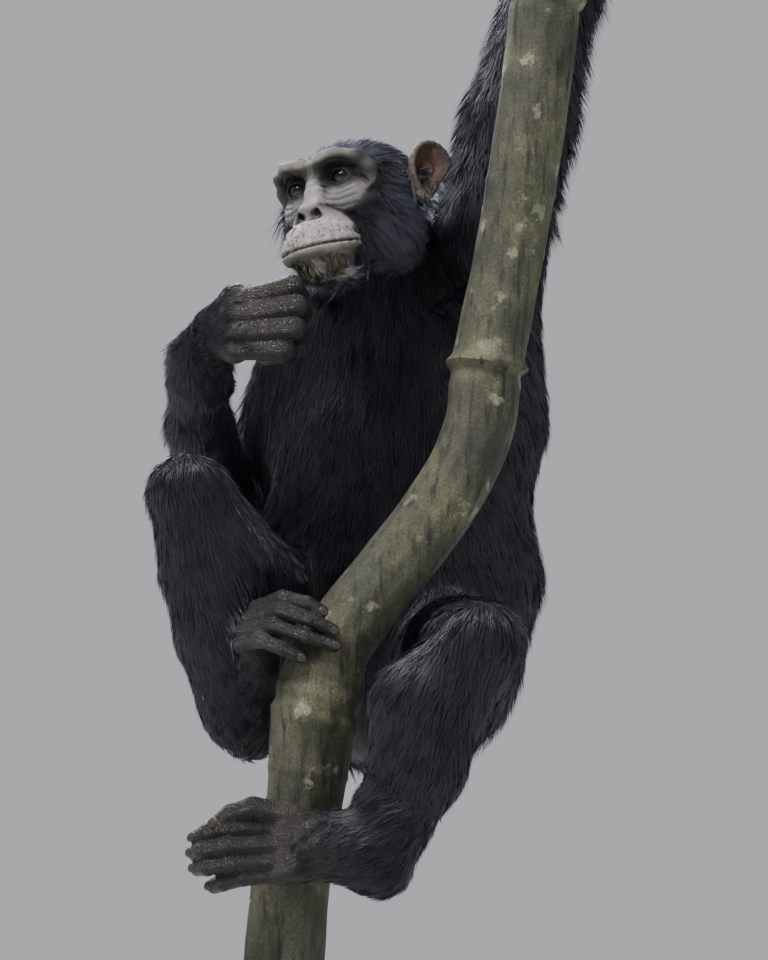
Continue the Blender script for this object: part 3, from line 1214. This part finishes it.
def coat_tree():
    tree = bpy.data.node_groups.new("coat_of_tufts", "GeometryNodeTree")
    sockets = [("Skin", "NodeSocketGeometry"), ("Ground", "NodeSocketObject"),
               ("Tufts", "NodeSocketCollection"), ("Density", "NodeSocketFloat"),
               ("Width", "NodeSocketFloat"), ("Stray", "NodeSocketFloat"),
               ("Clump Size", "NodeSocketFloat"), ("Seed", "NodeSocketInt"),
               ("Finish", "NodeSocketMaterial")]
    for name, kind in sockets:
        tree.interface.new_socket(name, in_out="INPUT", socket_type=kind)
    tree.interface.new_socket("Coat", in_out="OUTPUT", socket_type="NodeSocketGeometry")
    given = add(tree, "NodeGroupInput").outputs
    skin, seed = given["Skin"], given["Seed"]
    density = math_of(tree, "MULTIPLY", named(tree, "cover"), given["Density"])
    roots = add(tree, "GeometryNodeDistributePointsOnFaces", {"Mesh": skin, "Density": density, "Seed": seed})
    place = add(tree, "GeometryNodeInputPosition").outputs[0]
    waves = add(tree, "ShaderNodeTexNoise", {"Vector": place, "Scale": given["Clump Size"], "Detail": 2.0})
    sway = scaled(tree, vector_of(tree, "SUBTRACT", waves.outputs["Color"], (0.5, 0.5, 0.5)), given["Stray"])
    lie = vector_of(tree, "ADD", named(tree, "lie", "FLOAT_VECTOR"), sway)
    size = math_of(tree, "MULTIPLY", named(tree, "length"), random_of(tree, 0.62, 1.22, seed))
    points = store(tree, roots.outputs["Points"], "size", size)
    points = store(tree, points, "shade", random_of(tree, 0.0, 1.0, 17))
    points = store(tree, points, "lift", random_of(tree, 0.45, 1.35, 23))
    turned = add(tree, "FunctionNodeAxesToRotation", {0: roots.outputs["Normal"], 1: lie},
                 primary_axis="Z", secondary_axis="Y")
    spin = add(tree, "FunctionNodeAxisAngleToRotation", {0: (0, 0, 1), 1: random_of(tree, -0.22, 0.22, 5)})
    spun = add(tree, "FunctionNodeRotateRotation", {0: turned.outputs[0], 1: spin.outputs[0]},
               rotation_space="LOCAL")
    shapes = add(tree, "GeometryNodeCollectionInfo", {"Collection": given["Tufts"], "Separate Children": True,
                                                      "Reset Children": True})
    pick = add(tree, "FunctionNodeRandomValue", {4: 0, 5: TUFT_SHAPES - 1, 8: 3}, data_type="INT").outputs[2]
    scale = add(tree, "ShaderNodeCombineXYZ", {0: given["Width"], 1: named(tree, "size"), 2: 1.0})
    placed = add(tree, "GeometryNodeInstanceOnPoints", {
        "Points": points, "Instance": shapes.outputs[0], "Pick Instance": True, "Instance Index": pick,
        "Rotation": spun.outputs[0], "Scale": scale.outputs[0]})
    real = add(tree, "GeometryNodeRealizeInstances", {0: placed.outputs[0]}).outputs[0]
    normal = add(tree, "GeometryNodeInputNormal").outputs[0]
    ground = add(tree, "GeometryNodeObjectInfo", {"Object": given["Ground"]}).outputs["Geometry"]
    nearest = []
    for value in (place, normal):
        found = add(tree, "GeometryNodeSampleNearestSurface",
                    {"Mesh": ground, "Value": value, "Sample Position": place}, data_type="FLOAT_VECTOR")
        nearest.append(found.outputs[0])
    along = named(tree, "along")
    stand = math_of(tree, "MULTIPLY", named(tree, "rise"), named(tree, "size"))
    stand = math_of(tree, "MULTIPLY", stand, named(tree, "lift"))
    stand = math_of(tree, "MULTIPLY", stand, math_of(tree, "POWER", along, 1.35))
    roll = math_of(tree, "MULTIPLY", named(tree, "across"),
                   math_of(tree, "MULTIPLY", math_of(tree, "SUBTRACT", named(tree, "shade"), 0.5), 0.0009))
    height = math_of(tree, "ADD", math_of(tree, "ADD", stand, roll), -0.0006)
    loose = math_of(tree, "MULTIPLY", named(tree, "free"), along)
    away = scaled(tree, vector_of(tree, "SUBTRACT", place, nearest[0]), loose)
    hanging = vector_of(tree, "ADD", nearest[0], away)
    lifted = vector_of(tree, "ADD", hanging, scaled(tree, nearest[1], height))
    laid = add(tree, "GeometryNodeSetPosition", {"Geometry": real, "Position": lifted}).outputs[0]
    crossed = vector_of(tree, "CROSS_PRODUCT", nearest[1], named(tree, "lie", "FLOAT_VECTOR"))
    sideways = vector_of(tree, "NORMALIZE", crossed)
    lean = math_of(tree, "ADD", math_of(tree, "MULTIPLY", named(tree, "across"), 0.8),
                   math_of(tree, "MULTIPLY", math_of(tree, "SUBTRACT", named(tree, "shade"), 0.5), 1.5))
    soft = vector_of(tree, "ADD", nearest[1], scaled(tree, sideways, lean))
    laid = store(tree, laid, "soft", soft, "FLOAT_VECTOR")
    patch = add(tree, "ShaderNodeCombineXYZ", {
        0: math_of(tree, "MULTIPLY", named(tree, "across"), 0.0013),
        1: math_of(tree, "MULTIPLY", math_of(tree, "SUBTRACT", along, 0.5), 0.003), 2: 0.0})
    unwrap = vector_of(tree, "ADD", named(tree, "unwrap", "FLOAT_VECTOR"), patch.outputs[0])
    mapped = store(tree, laid, "OFBake", unwrap, "FLOAT2", "CORNER")
    finish = add(tree, "GeometryNodeSetMaterial", {"Geometry": mapped, "Material": given["Finish"]})
    add(tree, "NodeGroupOutput", {0: finish.outputs[0]})
    return tree


coat_nodes = coat_tree()
print("coat tree has", len(coat_nodes.nodes), "nodes")

# %% [markdown]
# A hair is nearly black with a bluish shine where light glances off it, and slightly brown and
# lighter at the worn tip. The tint comes from the root's place, so a beard can be pale, and
# each tuft is a little darker or lighter than the next.

# %% The coat's finish
# Black hair whose lit strands turn cool grey, with the shade between them nearly black.
coat_finish, tree, shader = new_finish("glossy_black_hair")
tint = add(tree, "ShaderNodeAttribute", attribute_name="tint")
shade = add(tree, "ShaderNodeAttribute", attribute_name="shade")
along = add(tree, "ShaderNodeAttribute", attribute_name="along")
vary = add(tree, "ShaderNodeMapRange", {"Value": shade.outputs["Fac"], "To Min": 0.35, "To Max": 2.1})
tips = add(tree, "ShaderNodeMapRange", {"Value": along.outputs["Fac"], "To Min": 0.80, "To Max": 1.25})
both = add(tree, "ShaderNodeMath", {0: vary.outputs[0], 1: tips.outputs[0]}, operation="MULTIPLY")
colour = add(tree, "ShaderNodeVectorMath", {0: tint.outputs["Vector"], "Scale": both.outputs[0]},
             operation="SCALE")
tree.links.new(colour.outputs[0], shader.inputs["Base Color"])
shader.inputs["Roughness"].default_value = 0.46
shader.inputs["Specular IOR Level"].default_value = 0.42
shader.inputs["Specular Tint"].default_value = linear("e6e8f4")
shader.inputs["Sheen Weight"].default_value = 0.30
shader.inputs["Sheen Roughness"].default_value = 0.4
shader.inputs["Sheen Tint"].default_value = linear("b4b9d0")

# %% The coat's pieces
MOST_TRIANGLES = 188000


def spread_unwrap(unwrap, cover):
    """Fits a piece's unwrapped skin to the unit square."""
    kept = unwrap[cover > 0.05]
    low, high = np.percentile(kept, 1, axis=0), np.percentile(kept, 99, axis=0)
    fitted = 0.02 + 0.96 * np.clip((unwrap - low) / np.maximum(high - low, 1e-6), 0, 1)
    return np.concatenate([fitted, np.zeros((len(fitted), 1))], 1)


def make_coat(name, skin, growth, mask, triangles, width, stray, clump_mm, seed):
    mesh = skin.copy()
    cover = growth["cover"] * mask
    growth = dict(growth, cover=cover, unwrap=spread_unwrap(growth["unwrap"], cover))
    kinds = {"lie": "FLOAT_VECTOR", "tint": "FLOAT_VECTOR", "unwrap": "FLOAT_VECTOR"}
    for key, values in growth.items():
        keep_attribute(mesh, key, values, kinds.get(key, "FLOAT"))
    corners = np.empty(len(mesh.loops), np.int32)
    mesh.loops.foreach_get("vertex_index", corners)
    totals = np.empty(len(mesh.polygons), np.int32)
    mesh.polygons.foreach_get("loop_total", totals)
    areas = np.empty(len(mesh.polygons), np.float32)
    mesh.polygons.foreach_get("area", areas)
    per_corner = np.repeat(areas / totals, totals)
    covered = float((per_corner * cover[corners]).sum())
    density = min(triangles, MOST_TRIANGLES) / TUFT_TRIANGLES / covered
    carrier = bpy.data.objects.new(f"carrier_{name}", mesh)
    bpy.context.scene.collection.objects.link(carrier)
    grow_step = carrier.modifiers.new("grow", "NODES")
    grow_step.node_group = coat_nodes
    given = {"Ground": ground, "Tufts": tufts, "Density": density, "Width": width, "Stray": stray,
             "Clump Size": 1000 / clump_mm, "Seed": seed, "Finish": coat_finish}
    for socket in coat_nodes.interface.items_tree:
        if socket.in_out == "INPUT" and socket.name in given:
            grow_step[socket.identifier] = given[socket.name]
    grown = plain_mesh(carrier)
    bpy.data.objects.remove(carrier, do_unlink=True)
    grown.shade_smooth()
    soft = np.empty((len(grown.vertices), 3), np.float32)
    grown.attributes["soft"].data.foreach_get("vector", soft.ravel())
    grown.normals_split_custom_set_from_vertices(unit(soft))
    for key in ("soft", "lie", "length", "rise", "cover", "unwrap", "free", "size", "lift", "across", "tone"):
        if key in grown.attributes:
            grown.attributes.remove(grown.attributes[key])
    item = new_piece(name, grown, None, ())
    print(name, sum(len(face.vertices) - 2 for face in grown.polygons), "triangles on",
          round(covered, 3), "square metres")
    return item


joined = bmesh.new()
for mesh in meshes.values():
    joined.from_mesh(mesh)
ground_mesh = bpy.data.meshes.new("ground_for_hair")
joined.to_mesh(ground_mesh)
joined.free()
ground = bpy.data.objects.new("ground_for_hair", ground_mesh)
bpy.context.scene.collection.objects.link(ground)
skin = meshes["skin_body"]
points, normals = points_of(skin), normals_of(skin)
fields = [trunk_field(points) - 0.004] + [limb_field(points, name) for name in LIMBS]
region = np.argmin(fields, axis=0)
beneath_head = ramp(np.linalg.norm(points - np.array(HEAD_CENTRE, np.float32), axis=1), 0.062, 0.070)
trunk = trunk_coat(points, normals)
front = (region == 0) * (points[:, 1] < 0.055)
back = (region == 0) * (points[:, 1] >= 0.055)
make_coat("coat_front", skin, trunk, front * beneath_head, 165000, 0.9, 0.55, 34, 1)
make_coat("coat_back", skin, trunk, back * beneath_head, 165000, 1.05, 0.55, 34, 2)
for number, name in enumerate(LIMBS):
    growth = limb_coat(points, normals, name)
    amount = 150000 if name.startswith("leg") else 125000
    make_coat(f"coat_{name}", skin, growth, region == number + 1, amount, 0.85, 0.6, 30, 3 + number)
skin = meshes["skin_head"]
points, normals = points_of(skin), normals_of(skin)
head_growth, face_growth = head_coat(points)
make_coat("coat_head", skin, head_growth, 1.0, 188000, 0.46, 0.6, 20, 9)
make_coat("coat_face", skin, face_growth, 1.0, 40000, 0.17, 0.6, 12, 10)
for number, name in enumerate(GRIPS):
    skin = meshes[f"skin_{name}"]
    points, normals = points_of(skin), normals_of(skin)
    growth = grip_coat(points, normals, name)
    make_coat(f"coat_{name}", skin, growth, 1.0, 50000, 0.6, 0.5, 25, 20 + number)
for item in list(tufts.objects):
    bpy.data.objects.remove(item, do_unlink=True)
bpy.data.collections.remove(tufts)
bpy.data.objects.remove(ground, do_unlink=True)

# %% [markdown]
# The stem is a young trunk with smooth bark. Old branches left rings that run all round it, it
# swells at a knot, and its skin is ribbed along the grain. A loop of rings follows the bent
# line, and each ring's radius varies a little with the angle, so no two sides look alike.

# %% The stem
STEM_SIDES, STEM_STEPS = 72, 24


def stem_line():
    """Places and radii along the stem, close enough to show the grain."""
    places = [Vector(place) for place, _ in STEM_PATH]
    swell = [ratio for _, ratio in STEM_PATH]
    line = []
    for index in range(len(places) - 1):
        before, start = places[max(index - 1, 0)], places[index]
        end, after = places[index + 1], places[min(index + 2, len(places) - 1)]
        for step in range(STEM_STEPS):
            share = step / STEM_STEPS
            square, cube = share * share, share**3
            bend = (2 * before - 5 * start + 4 * end - after) * square
            bend += (3 * start - before - 3 * end + after) * cube
            place = 0.5 * (2 * start + (end - before) * share + bend)
            ratio = swell[index] + (swell[index + 1] - swell[index]) * share
            line.append((place, STEM_RADIUS * ratio))
    line.append((places[-1], STEM_RADIUS * swell[-1]))
    return [(place, radius) for place, radius in line if place.z > STEM_PATH[0][0][2] + 0.012]


def bark_height(angle, height):
    """How far the bark stands out at an angle and a height, in metres."""
    out = 0.0
    for scar in STEM_SCARS:
        away = (height - scar - 0.003 * math.sin(angle + scar * 9)) / 0.0050
        out += 0.0058 * math.exp(-away * away) - 0.0018 * math.exp(-((away + 2.2) ** 2))
    for scar in (0.318, 0.382, 0.446, 0.502, 0.985, 1.395):
        away = (height - scar - 0.003 * math.sin(angle * 1.0 + scar * 31)) / 0.0035
        out += 0.0011 * math.exp(-away * away)
    for scar, high, wide in ((0.488, 0.0022, 0.010), (0.462, 0.0030, 0.008), (0.434, 0.0026, 0.009)):
        away = (height - scar - 0.006 * math.sin(angle + scar * 40)) / wide
        out += high * math.exp(-away * away)
    out += 0.0006 * math.sin(angle * 5 + height * 9) + 0.0004 * math.sin(angle * 11 - height * 23)
    out += 0.0005 * math.sin(angle * 2 + height * 61) * math.sin(height * 37 + 1.0)
    return out


shape = bmesh.new()
rings, line = [], stem_line()
side = Vector((1, 0, 0))
for index, (place, radius) in enumerate(line):
    before, after = line[max(index - 1, 0)][0], line[min(index + 1, len(line) - 1)][0]
    along = Vector((0, 0, 1)) if index == 0 else (after - before).normalized()
    side = (side - along * side.dot(along)).normalized()
    front = along.cross(side)
    ring = []
    for number in range(STEM_SIDES):
        angle = 2 * math.pi * number / STEM_SIDES
        reach = radius - 0.0006 + bark_height(angle, place.z)
        ring.append(shape.verts.new(place + (side * math.cos(angle) + front * math.sin(angle)) * reach))
    rings.append(ring)
for low, high in zip(rings, rings[1:]):
    for number in range(STEM_SIDES):
        after = (number + 1) % STEM_SIDES
        shape.faces.new((low[number], low[after], high[after], high[number]))
for ring, flip in ((rings[0], True), (rings[-1], False)):
    centre = shape.verts.new(sum((vertex.co for vertex in ring), Vector()) / STEM_SIDES)
    for number in range(STEM_SIDES):
        pair = (ring[number], ring[(number + 1) % STEM_SIDES])
        shape.faces.new((centre, pair[1], pair[0]) if flip else (centre, pair[0], pair[1]))
bmesh.ops.recalc_face_normals(shape, faces=shape.faces)
stem_mesh = bpy.data.meshes.new("stem_bark")
shape.to_mesh(stem_mesh)
shape.free()
stem_mesh.shade_smooth()
stem_mesh.set_sharp_from_angle(angle=math.radians(40))

# %% [markdown]
# Bark that weathers in the shade is grey-olive. Rain draws dark streaks along it, lichen leaves
# pale rounded patches of 10 to 30 mm, and moss tints the rough places green. Noise that is
# stretched along the height gives the streaks, and cells with a threshold give the patches.

# %% The bark's finish
# Smooth olive-grey bark, dull all over, that reads as ribbed where light rakes it.
bark, tree, shader = new_finish("weathered_bark")
place = add(tree, "ShaderNodeTexCoord").outputs["Object"]
slow = add(tree, "ShaderNodeTexNoise", {"Vector": place, "Scale": 14.0, "Detail": 6.0, "Roughness": 0.6})
stretch = add(tree, "ShaderNodeMapping", {"Vector": place, "Scale": (1.0, 1.0, 0.16)})
streak = add(tree, "ShaderNodeTexNoise", {"Vector": stretch.outputs[0], "Scale": 120.0, "Detail": 6.0})
grain = add(tree, "ShaderNodeTexNoise", {"Vector": place, "Scale": 420.0, "Detail": 4.0})
base = add(tree, "ShaderNodeValToRGB", {"Fac": slow.outputs["Fac"]})
base.color_ramp.elements[0].position, base.color_ramp.elements[0].color = 0.30, linear("1f1f19")
base.color_ramp.elements[1].position, base.color_ramp.elements[1].color = 0.72, linear("55563f")
middle = base.color_ramp.elements.new(0.5)
middle.color = linear("37382a")
dark = add(tree, "ShaderNodeMapRange", {"Value": streak.outputs["Fac"], "From Min": 0.52, "From Max": 0.70})
streaked = add(tree, "ShaderNodeMix", {0: dark.outputs[0], 6: base.outputs["Color"], 7: linear("12110e")},
               data_type="RGBA")
cells = add(tree, "ShaderNodeTexVoronoi", {"Vector": place, "Scale": 26.0, "Randomness": 1.0})
wobble = add(tree, "ShaderNodeTexNoise", {"Vector": place, "Scale": 90.0, "Detail": 5.0})
patch = add(tree, "ShaderNodeMath", {0: cells.outputs["Distance"], 1: wobble.outputs["Fac"]}, operation="ADD")
chosen = add(tree, "ShaderNodeMath", {0: patch.outputs[0], 1: slow.outputs["Fac"]}, operation="SUBTRACT")
lichen = add(tree, "ShaderNodeMapRange", {
    "Value": chosen.outputs[0], "From Min": 0.16, "From Max": 0.05, "To Max": 0.55})
spotted = add(tree, "ShaderNodeMix", {0: lichen.outputs[0], 6: streaked.outputs[2], 7: linear("7a7a68")},
              data_type="RGBA")
mossy = add(tree, "ShaderNodeTexNoise", {"Vector": place, "Scale": 22.0, "Detail": 8.0, "W": 3.0},
            noise_dimensions="4D")
moss = add(tree, "ShaderNodeMapRange", {"Value": mossy.outputs["Fac"], "From Min": 0.55, "From Max": 0.75,
                                        "To Max": 0.55})
greened = add(tree, "ShaderNodeMix", {0: moss.outputs[0], 6: spotted.outputs[2], 7: linear("262a17")},
              data_type="RGBA")
fleck = add(tree, "ShaderNodeMapRange", {"Value": grain.outputs["Fac"], "From Min": 0.3, "From Max": 0.7,
                                         "To Min": 0.60, "To Max": 1.45})
final = add(tree, "ShaderNodeVectorMath", {0: greened.outputs[2], "Scale": fleck.outputs[0]},
            operation="SCALE")
tree.links.new(final.outputs[0], shader.inputs["Base Color"])
ribs = add(tree, "ShaderNodeBump", {"Height": streak.outputs["Fac"], "Strength": 0.7, "Distance": 0.0022})
rough = add(tree, "ShaderNodeBump", {"Height": grain.outputs["Fac"], "Strength": 0.6, "Distance": 0.0009,
                                     "Normal": ribs.outputs[0]})
tree.links.new(rough.outputs[0], shader.inputs["Normal"])
shader.inputs["Roughness"].default_value = 0.82
new_piece("stem_bark", stem_mesh, bark, ["perch_stem"])
print("stem", len(stem_mesh.polygons), "faces")

# %% [markdown]
# The stand is plain on purpose: a board with a sprayed satin paint, and a steel rod with a dark
# satin finish. Paint shows the faint orange peel of a spray gun, 1 to 2 mm across.

# %% The stand's finishes
# Warm white paint with a soft, slightly uneven shine.
board, tree, shader = new_finish("sprayed_satin_paint")
place = add(tree, "ShaderNodeTexCoord").outputs["Object"]
peel = add(tree, "ShaderNodeTexNoise", {"Vector": place, "Scale": 650.0, "Detail": 2.0})
tone = add(tree, "ShaderNodeTexNoise", {"Vector": place, "Scale": 6.0, "Detail": 3.0})
paint = add(tree, "ShaderNodeValToRGB", {"Fac": tone.outputs["Fac"]})
paint.color_ramp.elements[0].color = linear("c9c5bb")
paint.color_ramp.elements[1].color = linear("d3cfc6")
bump = add(tree, "ShaderNodeBump", {"Height": peel.outputs["Fac"], "Strength": 0.25, "Distance": 0.0003})
tree.links.new(paint.outputs["Color"], shader.inputs["Base Color"])
tree.links.new(bump.outputs[0], shader.inputs["Normal"])
shader.inputs["Roughness"].default_value = 0.42

# Drawn steel rod, darkened: long fine lines stretch its highlight along the rod.
steel, tree, shader = new_finish("dark_satin_steel")
place = add(tree, "ShaderNodeTexCoord").outputs["Object"]
drawn = add(tree, "ShaderNodeMapping", {"Vector": place, "Scale": (1.0, 1.0, 0.05)})
lines = add(tree, "ShaderNodeTexNoise", {"Vector": drawn.outputs[0], "Scale": 900.0, "Detail": 2.0})
level = add(tree, "ShaderNodeMapRange", {"Value": lines.outputs["Fac"], "To Min": 0.28, "To Max": 0.46})
tree.links.new(level.outputs[0], shader.inputs["Roughness"])
shader.inputs["Base Color"].default_value = linear("5b5c60")
shader.inputs["Metallic"].default_value = 1.0
for node, finish in (("stand_base", board), ("stand_rod", steel)):
    item = frame["nodes"][node]
    item.data.materials.clear()
    item.data.materials.append(finish)
print("stand painted")

# %% [markdown]
# The picture is taken from below the animal's waist with a long lens, 4.2 m away and looking up
# by 8 degrees, as the photographer stood under it. A pale floor and backdrop and three soft
# lamps make a plain studio: one large lamp above at the left front, a weak fill at the right,
# and one behind that draws a cool edge on the coat.

# %% Camera, floor and lamps
camera_data = bpy.data.cameras.new("long_lens")
camera_data.lens = 150.0
camera_data.sensor_width = 36.0
camera = bpy.data.objects.new("long_lens", camera_data)
camera.location = (0.0, -4.1591, 0.1155)
aim = Vector((0.0, 0.0, 0.70)) - camera.location
camera.rotation_euler = aim.to_track_quat("-Z", "Y").to_euler()
bpy.context.scene.collection.objects.link(camera)
bpy.context.scene.camera = camera

floor_mesh = bpy.data.meshes.new("floor")
shape = bmesh.new()
bmesh.ops.create_grid(shape, x_segments=2, y_segments=2, size=9.0)
shape.to_mesh(floor_mesh)
shape.free()
floor = bpy.data.objects.new("floor", floor_mesh)
bpy.context.scene.collection.objects.link(floor)
floor.location = (0, 0, -0.001)
# Matt pale paint, so the floor shows shadows and no reflections.
floor_paint, tree, shader = new_finish("pale_studio_floor")
shader.inputs["Base Color"].default_value = linear("d8d8d6")
shader.inputs["Roughness"].default_value = 0.9
floor_mesh.materials.append(floor_paint)

world = bpy.data.worlds.new("pale_studio")
world.use_nodes = True
world.node_tree.nodes["Background"].inputs["Color"].default_value = linear("e3e6ea")
world.node_tree.nodes["Background"].inputs["Strength"].default_value = 0.62
bpy.context.scene.world = world


def lamp(name, place, target, size, watts, code):
    data = bpy.data.lights.new(name, "AREA")
    data.shape = "DISK"
    data.size = size
    data.energy = watts
    data.color = linear(code)[:3]
    item = bpy.data.objects.new(name, data)
    item.location = place
    item.rotation_euler = (Vector(target) - Vector(place)).to_track_quat("-Z", "Y").to_euler()
    bpy.context.scene.collection.objects.link(item)


lamp("key_lamp", (-1.3, -1.6, 3.7), (0, 0, 0.8), 1.5, 270, "fffdf9")
lamp("fill_lamp", (2.6, -2.4, 1.2), (0, 0, 0.7), 2.0, 30, "f1f4ff")
lamp("edge_lamp", (-1.2, 2.4, 3.0), (0, 0, 0.9), 1.4, 110, "eaf0ff")
print("camera", [round(v, 3) for v in camera.location])
